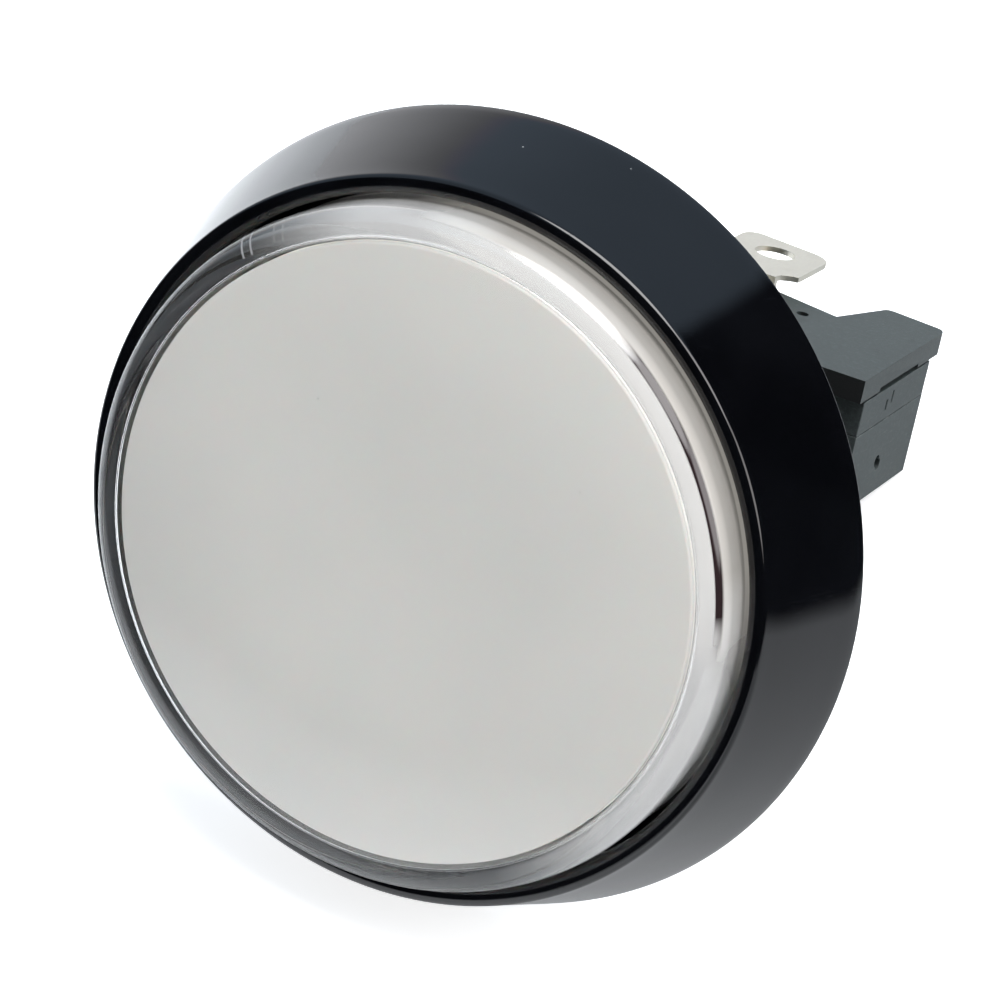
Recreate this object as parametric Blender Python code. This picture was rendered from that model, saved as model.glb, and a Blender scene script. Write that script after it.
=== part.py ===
"""Illuminated panel push button of 60 mm diameter, as used for quiz and game show buzzers.

Row frame: +Z is the button's axis, lens up; the origin is the centre of the lens's flat face.
The dimensions are written from the panel plane, z = 0 under the bezel, and the body empties carry the step of
LENS_TOP down to the row frame. The snap-action switch lies behind the panel with its length along X and its
thickness along Y. All lengths below are millimetres; MM turns them into metres.
"""

import math

import bmesh
import bpy
from mathutils import Matrix, Vector

MM = 0.001

# ---- driving dimensions (mm) ----
RIM_R = 30.0            # bezel edge on the panel
FRONT_R = 26.6          # bezel front edge
FRONT_Z = 10.1
CUP_R = 25.3            # opening that the lens slides in
FLOOR_Z = 1.6           # cup floor
STEM_R = 11.5           # mean radius of the threaded stem
STEM_Z = -28.0
BORE_R = 10.3
BEARING_R = 8.9         # guide for the plunger tube
BEARING_Z = (-12.0, -20.0)
THREAD_PITCH = 3.0

LENS_R = 24.9
LENS_TOP = 13.3
LENS_WALL = 1.9
LENS_ROOF = 0.7
LENS_BASE = 5.7
LENS_EDGE = 1.9         # rounding of the rim
DISC_R = 22.5
DISC_Z = (11.3, 12.4)

TUBE_R = (7.2, 8.6)
TUBE_END = -24.0
DISH_Z = (4.4, 5.4)
PRESS_TRAVEL = 2.0

SPRING_MEAN_R = 9.4
SPRING_WIRE_R = 0.4
SPRING_Z = (-11.65, 4.05)
SPRING_TURNS = 5.5

NUT_R = 16.9
NUT_HEX_R = 16.4
NUT_BORE = 11.95
NUT_FRONT = -9.6
NUT_LEN = 6.0
WASHER_Z = (-8.2, -9.3)
WASHER_R = 16.4

NECK_R = 6.9
SOCKET_R = 5.5
COLLAR_R = (8.95, 10.0)
COLLAR_Z = -25.0
FLANGE_Z = (-28.3, -30.5)
BLOCK_X = 9.9
BLOCK_Y = (-8.0, 5.3)
BLOCK_REAR = -40.6
BAYONET_TURN = 42.0     # degrees from locked to released
LUG_ANGLE = 70.0        # first bayonet lug, degrees from +X, when locked

SW_X = 13.9             # half length of the switch
SW_FRONT = -42.15
SW_REAR = -58.05
SW_TOP = 3.0
SW_BOTTOM = -7.2
SW_SPLIT = (-0.10, 0.05)
SW_WALL = 1.4
PIN_A = (11.1, -44.95)  # x, z of the two mounting holes
PIN_B = (-11.1, -55.25)
BUTTON_X = 3.6
BLADE_AXIS = (-8.6, -47.1)
CONTACT_X = 7.0
CONTACT_Y = -2.7
TAB_T = 0.5             # switch terminals
TAB_Y = (-0.9, -0.4)
LAMP_STRIP_T = 0.7

FRAME_SHIFT = Vector((0, 0, -LENS_TOP * MM))

SEG_BIG = 60
SEG_MED = 40
SEG_HOLDER = 48


def clear_scene():
    for ob in list(bpy.data.objects):
        bpy.data.objects.remove(ob, do_unlink=True)
    for me in list(bpy.data.meshes):
        bpy.data.meshes.remove(me)


def material(name, colour, rough, metal=0.0, alpha=1.0, transmission=0.0, ior=1.49):
    mat = bpy.data.materials.new(name)
    mat.use_nodes = True
    bsdf = mat.node_tree.nodes["Principled BSDF"]
    bsdf.inputs["Base Color"].default_value = (*colour, 1.0)
    bsdf.inputs["Roughness"].default_value = rough
    bsdf.inputs["Metallic"].default_value = metal
    bsdf.inputs["Transmission Weight"].default_value = transmission
    bsdf.inputs["IOR"].default_value = ior
    bsdf.inputs["Alpha"].default_value = alpha
    mat.diffuse_color = (*colour, alpha)
    return mat


def finish(name, bm):
    """Turns a bmesh in millimetres into an object in metres with outward faces."""
    bmesh.ops.remove_doubles(bm, verts=bm.verts, dist=1e-5)
    bmesh.ops.recalc_face_normals(bm, faces=bm.faces)
    bmesh.ops.scale(bm, vec=(MM, MM, MM), verts=bm.verts)
    mesh = bpy.data.meshes.new(name)
    bm.to_mesh(mesh)
    bm.free()
    ob = bpy.data.objects.new(name, mesh)
    bpy.context.scene.collection.objects.link(ob)
    return ob


def lathe(name, profile, seg, axis="Z", centre=(0, 0, 0)):
    """Turns a closed loop of (radius, height) about an axis; a point at radius 0 becomes a pole."""
    bm = bmesh.new()
    rings = []
    for r, z in profile:
        if r < 1e-6:
            rings.append([bm.verts.new((0, 0, z))])
        else:
            rings.append([bm.verts.new((r * math.cos(2 * math.pi * i / seg), r * math.sin(2 * math.pi * i / seg), z)) for i in range(seg)])
    n = len(rings)
    for k in range(n):
        a, b = rings[k], rings[(k + 1) % n]
        if len(a) == 1 and len(b) == 1:
            continue
        for i in range(seg):
            j = (i + 1) % seg
            if len(a) == 1:
                bm.faces.new((a[0], b[i], b[j]))
            elif len(b) == 1:
                bm.faces.new((a[i], b[0], a[j]))
            else:
                bm.faces.new((a[i], b[i], b[j], a[j]))
    if axis == "Y":
        bmesh.ops.rotate(bm, cent=(0, 0, 0), matrix=Matrix.Rotation(math.radians(-90), 3, "X"), verts=bm.verts)
    elif axis == "X":
        bmesh.ops.rotate(bm, cent=(0, 0, 0), matrix=Matrix.Rotation(math.radians(90), 3, "Y"), verts=bm.verts)
    bmesh.ops.translate(bm, vec=centre, verts=bm.verts)
    return finish(name, bm)


def cylinder(name, r, z0, z1, seg=20, axis="Z", centre=(0, 0, 0)):
    return lathe(name, [(0, z0), (r, z0), (r, z1), (0, z1)], seg, axis, centre)


def box(name, x, y, z):
    bm = bmesh.new()
    bmesh.ops.create_cube(bm, size=1.0)
    x, y, z = sorted(x), sorted(y), sorted(z)
    bmesh.ops.scale(bm, vec=(x[1] - x[0], y[1] - y[0], z[1] - z[0]), verts=bm.verts)
    bmesh.ops.translate(bm, vec=((x[0] + x[1]) / 2, (y[0] + y[1]) / 2, (z[0] + z[1]) / 2), verts=bm.verts)
    return finish(name, bm)


def prism(name, outline, y0, y1):
    """Plate in the XZ plane: outline is a list of (x, z), extruded from y0 to y1."""
    bm = bmesh.new()
    low = [bm.verts.new((x, y0, z)) for x, z in outline]
    high = [bm.verts.new((x, y1, z)) for x, z in outline]
    bm.faces.new(low)
    bm.faces.new(list(reversed(high)))
    n = len(outline)
    for i in range(n):
        j = (i + 1) % n
        bm.faces.new((low[i], low[j], high[j], high[i]))
    return finish(name, bm)


def sector(name, r0, r1, z0, z1, a0, a1, steps):
    """Piece of a ring between two angles in degrees."""
    bm = bmesh.new()
    cols = []
    for i in range(steps + 1):
        a = math.radians(a0 + (a1 - a0) * i / steps)
        c, s = math.cos(a), math.sin(a)
        cols.append([bm.verts.new((r * c, r * s, z)) for r, z in ((r0, z0), (r1, z0), (r1, z1), (r0, z1))])
    for a, b in zip(cols, cols[1:]):
        for k in range(4):
            bm.faces.new((a[k], a[(k + 1) % 4], b[(k + 1) % 4], b[k]))
    bm.faces.new(cols[0])
    bm.faces.new(list(reversed(cols[-1])))
    return finish(name, bm)


def coil(name, mean_r, wire_r, z0, z1, turns, per_turn, sides, centre=(0, 0)):
    """Compression spring whose end turns lie flat."""
    bm = bmesh.new()
    n = int(turns * per_turn)
    lo, hi = z0 + wire_r, z1 - wire_r
    rings = []
    for i in range(n + 1):
        t = i / per_turn
        dead = 0.8
        if t < dead:
            u = 0.0
        elif t > turns - dead:
            u = 1.0
        else:
            u = (t - dead) / (turns - 2 * dead)
            u = u * u * (3 - 2 * u) * 0.25 + u * 0.75
        squeeze = 2.05 * wire_r
        z = lo + squeeze * min(t, dead) / dead + (hi - lo - 2 * squeeze) * u + squeeze * max(0.0, t - (turns - dead)) / dead
        a = 2 * math.pi * t
        cx, cy = centre[0] + mean_r * math.cos(a), centre[1] + mean_r * math.sin(a)
        rings.append([bm.verts.new((cx + wire_r * math.cos(p) * math.cos(a), cy + wire_r * math.cos(p) * math.sin(a), z + wire_r * math.sin(p)))
                      for p in (2 * math.pi * k / sides for k in range(sides))])
    for a, b in zip(rings, rings[1:]):
        for k in range(sides):
            bm.faces.new((a[k], a[(k + 1) % sides], b[(k + 1) % sides], b[k]))
    bm.faces.new(rings[0])
    bm.faces.new(list(reversed(rings[-1])))
    return finish(name, bm)


def wire(name, points, r, sides=8):
    """Round wire through a list of points, mitred at the bends."""
    bm = bmesh.new()
    pts = [Vector(p) for p in points]
    rings = []
    side = Vector((1, 0, 0))
    for i, p in enumerate(pts):
        before = (p - pts[i - 1]).normalized() if i else (pts[1] - p).normalized()
        after = (pts[i + 1] - p).normalized() if i < len(pts) - 1 else before
        tangent = (before + after).normalized()
        stretch = 1.0 / max(0.3, tangent.dot(before))
        up = tangent.cross(side).normalized()
        rings.append([bm.verts.new(p + side * (r * math.cos(a)) + up * (r * stretch * math.sin(a))) for a in (2 * math.pi * k / sides for k in range(sides))])
    for a, b in zip(rings, rings[1:]):
        for k in range(sides):
            bm.faces.new((a[k], a[(k + 1) % sides], b[(k + 1) % sides], b[k]))
    bm.faces.new(rings[0])
    bm.faces.new(list(reversed(rings[-1])))
    return finish(name, bm)


def combine(target, tools, operation):
    """Applies a boolean with each tool and removes the tools."""
    for tool in tools:
        mod = target.modifiers.new("cut", "BOOLEAN")
        mod.operation = operation
        mod.solver = "EXACT"
        mod.object = tool
        bpy.context.view_layer.update()
        evaluated = target.evaluated_get(bpy.context.evaluated_depsgraph_get())
        mesh = bpy.data.meshes.new_from_object(evaluated)
        target.modifiers.clear()
        old = target.data
        target.data = mesh
        bpy.data.meshes.remove(old)
        bpy.data.objects.remove(tool, do_unlink=True)
    tidy(target)
    return target


def tidy(target):
    bm = bmesh.new()
    bm.from_mesh(target.data)
    bmesh.ops.remove_doubles(bm, verts=bm.verts, dist=1e-7)
    bmesh.ops.dissolve_degenerate(bm, edges=bm.edges, dist=1e-7)
    bm.to_mesh(target.data)
    bm.free()


def join(target, tools):
    return combine(target, tools, "UNION")


def cut(target, tools):
    return combine(target, tools, "DIFFERENCE")


def arc(cr, cz, r, a0, a1, n):
    """Points on a fillet of a turned profile, angles in degrees."""
    return [(cr + r * math.cos(math.radians(a0 + (a1 - a0) * i / n)), cz + r * math.sin(math.radians(a0 + (a1 - a0) * i / n))) for i in range(n + 1)]


def dress(ob, mat, parent, origin=(0, 0, 0), smooth=True):
    """Gives a piece its material, its shading and an origin (mm) on its joint's axis, under its body's empty."""
    ob.data.name = ob.name
    ob.data.materials.clear()
    ob.data.materials.append(mat)
    at = Vector(origin) * MM
    ob.data.transform(Matrix.Translation(-at))
    ob.parent = parent
    ob.location = at + FRAME_SHIFT - parent.location
    if smooth:
        ob.data.shade_smooth()
        ob.data.set_sharp_from_angle(angle=math.radians(32))
    return ob


def empty(name, at=(0, 0, 0)):
    ob = bpy.data.objects.new(name, None)
    ob.location = Vector(at) * MM + FRAME_SHIFT
    ob.empty_display_size = 0.01
    bpy.context.scene.collection.objects.link(ob)
    return ob


# ---- bezel and panel hardware ----

def bezel_body():
    prof = [
        (29.7, 0.0), (30.0, 0.3), (26.75, 9.72), (26.6, 10.0), (26.35, 10.14), (26.05, 10.1), (25.45, 9.7), (CUP_R, 9.45),
        (CUP_R, 2.1), (24.8, FLOOR_Z), (BORE_R + 0.4, FLOOR_Z), (BORE_R, FLOOR_Z - 0.4), (BORE_R, BEARING_Z[0]),
        (BEARING_R, BEARING_Z[0]), (BEARING_R, BEARING_Z[1]), (BORE_R, BEARING_Z[1]), (BORE_R, STEM_Z), (STEM_R - 0.4, STEM_Z),
        (STEM_R, STEM_Z + 0.5), (STEM_R, 0.0), (26.9, 0.0), (27.2, 4.4), (27.6, 4.4), (28.3, 0.0),
    ]
    ob = lathe("bezel_body", prof, SEG_BIG)
    tools = []
    for k in range(2):
        locked = LUG_ANGLE + 180 * k
        entry = locked - BAYONET_TURN
        tools.append(sector("t", 9.7, 12.6, -24.8, -27.7, entry - 9.5, locked + 9.5, 10))
        tools.append(sector("t", 9.7, 12.6, -25.8, -28.8, entry - 9.5, entry + 9.5, 4))
    return cut(ob, tools)


def mounting_nut():
    bore = NUT_BORE
    z0, z1 = NUT_FRONT, NUT_FRONT - NUT_LEN
    ob = lathe("mounting_nut", [(bore + 0.3, z0), (NUT_R, z0), (NUT_R, z0 - 1.3), (14.2, z0 - 1.7), (14.2, z1 + 0.6), (13.7, z1), (bore + 0.3, z1), (bore, z1 + 0.35), (bore, z0 - 0.35)], SEG_MED)
    ribs = []
    for k in range(6):
        a = 60 * k
        ribs.append(sector("t", 13.6, 16.2, z0 - 1.1, z1 + 0.5, a - 9, a + 9, 3))
    return join(ob, ribs)


def nut_washer():
    return lathe("nut_washer", [(12.0, WASHER_Z[0]), (WASHER_R, WASHER_Z[0]), (WASHER_R, WASHER_Z[1]), (12.0, WASHER_Z[1])], SEG_MED)


# ---- the pushed pieces ----

def lens_cap():
    r, t = LENS_R, LENS_TOP
    inner = r - LENS_WALL
    e = LENS_EDGE
    prof = [(0, t)] + list(reversed(arc(r - e, t - e, e, 0, 90, 6))) + [(r, LENS_BASE), (inner, LENS_BASE), (inner, t - LENS_ROOF - 0.4), (inner - 0.4, t - LENS_ROOF), (0, t - LENS_ROOF)]
    return lathe("lens_cap", prof, SEG_BIG)


def diffuser_disc():
    return lathe("diffuser_disc", [(0, DISC_Z[1]), (DISC_R, DISC_Z[1]), (DISC_R, DISC_Z[0]), (0, DISC_Z[0])], SEG_BIG)


def plunger():
    lo, hi = DISH_Z
    ri, ro = TUBE_R
    prof = [(ri, hi), (21.3, hi), (21.3, DISC_Z[0] - 0.3), (22.6, DISC_Z[0] - 0.3), (22.6, hi), (24.6, hi), (24.6, lo), (ro, lo), (ro, TUBE_END), (ri, TUBE_END)]
    ob = lathe("plunger", prof, SEG_BIG)
    lugs = [sector("t", ro - 0.5, 9.6, -20.35, -22.3, a - 18, a + 18, 4) for a in (90, 270)]
    ob = join(ob, lugs)
    slots = []
    for a in (90, 270):
        for side in (-24, 24):
            slots.append(sector("t", ri - 1, ro + 2, -14.0, TUBE_END - 1, a + side - 3, a + side + 3, 1))
    return cut(ob, slots)


# ---- lamp holder, its contacts and the push yoke ----

def holder_pad(side):
    pts = [(4.3, -49.8), (5.95, -54.4), (8.1, -60.35), (8.4, -60.8), (8.95, -60.9), (13.3, -60.25), (13.8, -59.9), (14.0, -59.3), (14.0, -40.62), (9.7, -40.62), (9.2, -39.3), (3.4, -39.3)]
    if side < 0:
        pts = [(-x, z) for x, z in reversed(pts) if not 3.0 < x < 8.3] + [(-7.3, -59.3), (-7.3, -39.3)]
    return prism("t", pts, 3.3, 5.3)


def lamp_holder():
    front, rear = FLANGE_Z
    ob = lathe("lamp_holder", [(3.0, -16.5), (NECK_R - 0.3, -16.5), (NECK_R, -16.8), (NECK_R, front), (COLLAR_R[0], front), (COLLAR_R[0], COLLAR_Z), (COLLAR_R[1], COLLAR_Z), (COLLAR_R[1], front), (11.4, front), (11.4, rear), (3.0, rear)], SEG_HOLDER)
    parts = [
        box("t", (-BLOCK_X, BLOCK_X), BLOCK_Y, (FLANGE_Z[1] + 0.7, BLOCK_REAR)),
        prism("t", [(-9.3, -39.7), (9.3, -39.7), (9.3, -57.4), (4.7, -58.6), (-1.7, -60.25), (-9.3, -60.35)], 3.3, 3.95),
        holder_pad(1),
        holder_pad(-1),
    ]
    for k in range(2):
        a = LUG_ANGLE + 180 * k
        parts.append(sector("t", 9.7, 11.2, -25.2, -27.2, a - 7.5, a + 7.5, 3))
    for x, z in (PIN_A, PIN_B):
        parts.append(cylinder("t", 1.3, -6.5, 3.6, 16, "Y", (x, 0, z)))
    ob = join(ob, parts)
    holes = [
        cylinder("t", SOCKET_R, -15.0, -33.9, SEG_HOLDER),
        box("t", (-9.05, 9.05), (-6.5, 3.0), (-35.0, -42.0)),
        sector("t", 6.98, 8.85, -27.0, -36.0, -18, 18, 8),
        sector("t", 6.98, 8.85, -27.0, -36.0, 162, 198, 8),
        box("t", (-3.95, -0.85), (2.7, 4.1), (-33.0, -36.0)),
        box("t", (-6.95, -0.85), (2.6, 7.0), (-35.3, -36.8)),
        box("t", (-6.95, -0.85), (3.95, 7.0), (-36.5, -42.0)),
        box("t", (0.85, 3.95), (-4.1, -2.7), (-33.0, -36.0)),
        box("t", (-0.35, 6.65), (-9.0, -6.0), (-35.3, -36.8)),
        cylinder("t", 0.55, 3.4, 5.5, 12, "Y", (2.3, 0, -56.4)),
        box("t", (12.4, 15.0), (3.0, 3.62), (-45.2, -54.4)),
    ]
    return cut(ob, holes)


def lamp_terminal_a():
    t = LAMP_STRIP_T
    ob = box("lamp_terminal_a", (-3.6, -1.2), (3.05, 3.05 + t), (-23.0, -36.4))
    hole_x, hole_z = -4.1, -64.2
    tab = prism("t", [(-6.6, -57.5), (-1.2, -57.5), (-0.8, -58.7), (-0.2, -59.0), (0.3, -59.1), (0.3, -65.8), (-0.2, -66.9), (-1.2, -67.6), (-7.2, -68.5), (-7.9, -68.1), (-8.4, -67.0), (-8.4, -59.6), (-7.2, -59.5), (-6.6, -58.9)], 6.0 - t, 6.0)
    parts = [
        box("t", (-6.6, -1.2), (3.05, 5.0), (-35.7, -36.4)),
        box("t", (-6.6, -1.2), (5.0 - t, 5.0), (-35.7, -58.2)),
        box("t", (-6.6, -1.2), (5.0 - t, 5.75), (-57.5, -58.2)),
        tab,
    ]
    ob = join(ob, parts)
    return cut(ob, [cylinder("t", 1.75, 4.0, 7.0, 28, "Y", (hole_x, 0, hole_z))])


def lamp_terminal_b():
    t = LAMP_STRIP_T
    ob = box("lamp_terminal_b", (1.2, 3.6), (-3.05 - t, -3.05), (-23.0, -36.4))
    ob = join(ob, [box("t", (1.2, 3.6), (-7.0, -3.05), (-35.7, -36.4)), box("t", (0.0, 6.3), (-15.0, -5.0), (-35.7, -36.4))])
    return cut(ob, [cylinder("t", 1.5, -38, -34, 24, "Z", (3.15, -12.2, 0))])


def push_yoke():
    ob = box("push_yoke", (-8.7, 8.7), (-4.2, 2.2), (-36.8, -39.0))
    return join(ob, [sector("t", 7.3, 8.5, TUBE_END - 0.3, -37.3, a - 14, a + 14, 5) for a in (0, 180)])


def lamp_base():
    ob = box("lamp_base", (-4.6, 4.6), (-2.3, 2.3), (-32.9, -20.4))
    return join(ob, [cylinder("t", 4.9, -20.9, -17.6, 32)])


def lamp_dome():
    prof = [(0, -17.3), (4.9, -17.3), (4.9, -16.4), (4.5, -16.2)] + arc(0, -10.6, 4.5, 0, 90, 7)[:-1] + [(0, -6.1)]
    return lathe("lamp_dome", prof, 32)


def lamp_lead(name, side):
    x, y = -2.4 * side, 2.72 * side
    return wire(name, [(x, y, -22.5), (x, y, -33.0), (x, y - 0.35 * side, -33.35), (x, 0.9 * side, -33.35)], 0.22)


# ---- snap-action switch ----

def switch_base():
    ob = box("switch_base", (-SW_X, SW_X), (SW_BOTTOM, SW_SPLIT[0]), (SW_REAR, SW_FRONT))
    w = SW_WALL
    ob = cut(ob, [box("t", (-SW_X + w, SW_X - w), (SW_BOTTOM + 1.3, 1.0), (SW_REAR + 1.55, SW_FRONT - 1.55))])
    ob = join(ob, [cylinder("t", 2.6, SW_BOTTOM + 0.6, SW_SPLIT[0], 24, "Y", (x, 0, z)) for x, z in (PIN_A, PIN_B)])
    tools = [cylinder("t", 1.6, -9.0, 2.0, 20, "Y", (x, 0, z)) for x, z in (PIN_A, PIN_B)]
    tools += [
        box("t", (1.7, 5.5), (-4.0, 1.0), (SW_FRONT + 1, SW_FRONT - 2.2)),
        box("t", (-15.0, -SW_X + 2.0), (-1.2, 1.0), (-47.4, -52.6)),
        box("t", (-3.9, 1.5), (-1.2, 1.0), (-56.0, -59.5)),
        box("t", (4.1, 9.5), (-1.2, 1.0), (-56.0, -59.5)),
        cylinder("t", 0.55, SW_X - 0.5, SW_X + 0.6, 14, "X", (0, -4.5, -49.9)),
        cylinder("t", 0.55, SW_X - 0.5, SW_X + 0.6, 14, "X", (0, -4.1, -49.5)),
    ]
    return cut(ob, tools)


def switch_cover():
    ob = box("switch_cover", (-SW_X, SW_X), (SW_SPLIT[1], SW_TOP), (SW_REAR, SW_FRONT))
    tools = [cylinder("t", 1.6, -1.0, 4.0, 20, "Y", (x, 0, z)) for x, z in (PIN_A, PIN_B)]
    tools.append(box("t", (SW_X - 0.35, SW_X + 1), (1.1, 2.2), (-48.2, -48.7)))
    return cut(ob, tools)


def switch_button():
    ob = box("switch_button", (BUTTON_X - 1.6, BUTTON_X + 1.6), (-3.7, -0.4), (-39.3, -44.5))
    return join(ob, [box("t", (1.0, BUTTON_X + 1.65), (-5.2, -0.5), (-44.0, -45.0)), box("t", (BUTTON_X - 0.7, BUTTON_X + 0.7), (-3.2, -1.0), (-44.5, -46.6))])


def switch_blade():
    ob = box("switch_blade", (-9.4, 8.4), (-4.2, -1.2), (-46.9, -47.3))
    return cut(ob, [cylinder("t", 0.7, -48, -46, 16, "Z", (CONTACT_X, CONTACT_Y, 0))])


def moving_contact():
    prof = [(0, -46.0), (1.15, -46.15), (1.15, -46.75), (0.4, -46.75), (0.4, -47.45), (1.15, -47.45), (1.15, -48.05), (0, -48.2)]
    return lathe("moving_contact", prof, 20, "Z", (CONTACT_X, CONTACT_Y, 0))


def fixed_contact(name, z0, z1):
    return cylinder(name, 1.2, z0, z1, 20, "Z", (CONTACT_X, CONTACT_Y, 0))


def nc_terminal():
    ob = prism("nc_terminal", [(4.4, -55.0), (8.8, -55.0), (8.8, -49.0), (5.7, -49.0), (5.7, -44.1), (8.2, -44.1), (8.2, -47.9), (12.2, -47.9), (12.2, -56.3), (9.2, -56.3), (9.2, -65.5), (8.7, -66.0), (4.9, -66.0), (4.4, -65.5)], TAB_Y[0], TAB_Y[1])
    ob = join(ob, [box("t", (5.7, 8.2), (-4.0, TAB_Y[1]), (-44.1, -44.7))])
    return cut(ob, [cylinder("t", 0.9, -2, 1, 16, "Y", (6.8, 0, -63.0))])


def no_terminal():
    ob = prism("no_terminal", [(-3.6, -51.95), (8.3, -51.95), (8.3, -54.6), (1.2, -54.6), (1.2, -65.5), (0.7, -66.0), (-3.1, -66.0), (-3.6, -65.5)], TAB_Y[0], TAB_Y[1])
    ob = join(ob, [box("t", (5.7, 8.3), (-4.0, TAB_Y[1]), (-51.95, -52.5))])
    return cut(ob, [cylinder("t", 0.9, -2, 1, 16, "Y", (-1.2, 0, -63.0))])


def com_terminal():
    ob = prism("com_terminal", [(-7.6, -47.7), (-21.0, -47.7), (-21.5, -48.2), (-21.5, -51.8), (-21.0, -52.3), (-7.6, -52.3)], TAB_Y[0], TAB_Y[1])
    ob = join(ob, [box("t", (-11.8, -7.6), (-4.2, TAB_Y[1]), (-47.7, -48.3))])
    return cut(ob, [cylinder("t", 0.9, -2, 1, 16, "Y", (-18.5, 0, -50.0))])


def build():
    clear_scene()
    black = material("bezel_black", (0.012, 0.014, 0.015), 0.12)
    clear = material("lens_clear", (0.93, 0.94, 0.93), 0.04, transmission=1.0, ior=1.585, alpha=0.6)
    white = material("diffuser_white", (0.62, 0.63, 0.60), 0.35)
    cream = material("plunger_white", (0.72, 0.70, 0.64), 0.4)
    steel = material("spring_steel", (0.56, 0.57, 0.58), 0.3, 1.0)
    nutmat = material("nut_black", (0.02, 0.02, 0.022), 0.35)
    nylon = material("washer_nylon", (0.75, 0.74, 0.70), 0.5)
    holder = material("holder_grey", (0.05, 0.058, 0.06), 0.55)
    yoke = material("yoke_white", (0.78, 0.77, 0.73), 0.45)
    nickel = material("terminal_nickel", (0.78, 0.75, 0.70), 0.28, 1.0)
    lampb = material("lamp_base_white", (0.8, 0.8, 0.78), 0.5)
    dome = material("lamp_dome_clear", (0.9, 0.92, 0.95), 0.08, transmission=1.0, ior=1.5, alpha=0.6)
    copper = material("lamp_lead_tin", (0.8, 0.79, 0.77), 0.3, 1.0)
    case = material("switch_case_black", (0.045, 0.052, 0.054), 0.6)
    red = material("switch_button_black", (0.03, 0.03, 0.03), 0.4)
    brass = material("switch_brass", (0.78, 0.62, 0.32), 0.3, 1.0)
    silver = material("contact_silver", (0.86, 0.86, 0.84), 0.22, 1.0)
    bronze = material("blade_bronze", (0.72, 0.50, 0.30), 0.3, 1.0)

    root = empty("body_root")
    press = empty("body_press")
    twist = empty("body_holder", (0, 0, -28.3))
    yoke_e = empty("body_yoke", (0, 0, -36.8))
    button_e = empty("body_switch_button", (BUTTON_X, -2.05, -39.3))
    blade_e = empty("body_blade", (BLADE_AXIS[0], CONTACT_Y, BLADE_AXIS[1]))
    washer_e = empty("body_nut_run", (0, 0, WASHER_Z[0]))
    nut_e = empty("body_nut", (0, 0, NUT_FRONT))

    dress(bezel_body(), black, root)
    dress(coil("return_spring", SPRING_MEAN_R, SPRING_WIRE_R, SPRING_Z[0], SPRING_Z[1], SPRING_TURNS, 16, 6), steel, root, (0, 0, SPRING_Z[0]))
    dress(nut_washer(), nylon, washer_e, (0, 0, WASHER_Z[0]))
    dress(mounting_nut(), nutmat, nut_e, (0, 0, NUT_FRONT))

    dress(lens_cap(), clear, press)
    dress(diffuser_disc(), white, press)
    dress(plunger(), cream, press)

    hold = (0, 0, -28.3)
    dress(lamp_holder(), holder, twist, hold)
    dress(lamp_terminal_a(), nickel, twist, hold)
    dress(lamp_terminal_b(), nickel, twist, hold)
    dress(lamp_base(), lampb, twist, hold)
    dress(lamp_dome(), dome, twist, hold)
    dress(lamp_lead("lamp_lead_a", 1), copper, twist, hold)
    dress(lamp_lead("lamp_lead_b", -1), copper, twist, hold)
    dress(push_yoke(), yoke, yoke_e, (0, 0, -36.8))

    dress(switch_base(), case, twist, hold)
    dress(switch_cover(), case, twist, hold)
    dress(com_terminal(), brass, twist, hold)
    dress(no_terminal(), brass, twist, hold)
    dress(nc_terminal(), brass, twist, hold)
    dress(fixed_contact("nc_contact", -45.0, -45.7), silver, twist, hold)
    dress(fixed_contact("no_contact", -51.25, -51.75), silver, twist, hold)
    dress(coil("blade_spring", 1.1, 0.2, -56.2, -47.6, 6.5, 10, 4, (-2.0, CONTACT_Y)), steel, twist, (-2.0, CONTACT_Y, -56.2))
    dress(switch_button(), red, button_e, (BUTTON_X, -2.05, -39.3))
    blade_at = (BLADE_AXIS[0], CONTACT_Y, BLADE_AXIS[1])
    dress(switch_blade(), bronze, blade_e, blade_at)
    dress(moving_contact(), silver, blade_e, blade_at)


build()
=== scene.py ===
"""Looks for the illuminated push button: fine meshes, procedural materials, pale floor and soft studio light.

Lengths are millimetres measured from the panel plane, as in the part's source; place() turns them into metres in the
row frame, whose origin is the centre of the lens's face.
"""

import math

import bmesh
import bpy
from mathutils import Matrix, Vector

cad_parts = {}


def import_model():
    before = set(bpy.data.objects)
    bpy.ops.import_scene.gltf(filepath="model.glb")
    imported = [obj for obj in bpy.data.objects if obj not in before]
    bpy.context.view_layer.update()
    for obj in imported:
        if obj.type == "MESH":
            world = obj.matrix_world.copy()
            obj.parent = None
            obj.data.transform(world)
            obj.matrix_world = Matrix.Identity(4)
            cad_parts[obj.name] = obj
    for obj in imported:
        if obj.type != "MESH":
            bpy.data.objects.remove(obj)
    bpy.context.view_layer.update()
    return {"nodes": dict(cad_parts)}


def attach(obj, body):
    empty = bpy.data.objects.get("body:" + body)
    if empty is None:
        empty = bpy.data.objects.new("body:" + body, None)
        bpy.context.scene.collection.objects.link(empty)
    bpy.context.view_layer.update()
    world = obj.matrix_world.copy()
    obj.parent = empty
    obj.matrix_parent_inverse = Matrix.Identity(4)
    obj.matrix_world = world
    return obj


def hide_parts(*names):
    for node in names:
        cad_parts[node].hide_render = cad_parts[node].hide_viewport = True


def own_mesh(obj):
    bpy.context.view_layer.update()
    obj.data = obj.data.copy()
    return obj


MM = 0.001
SHIFT = -13.3
PI2 = 2 * math.pi

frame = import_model()


# ---------------------------------------------------------------- mesh helpers

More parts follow.
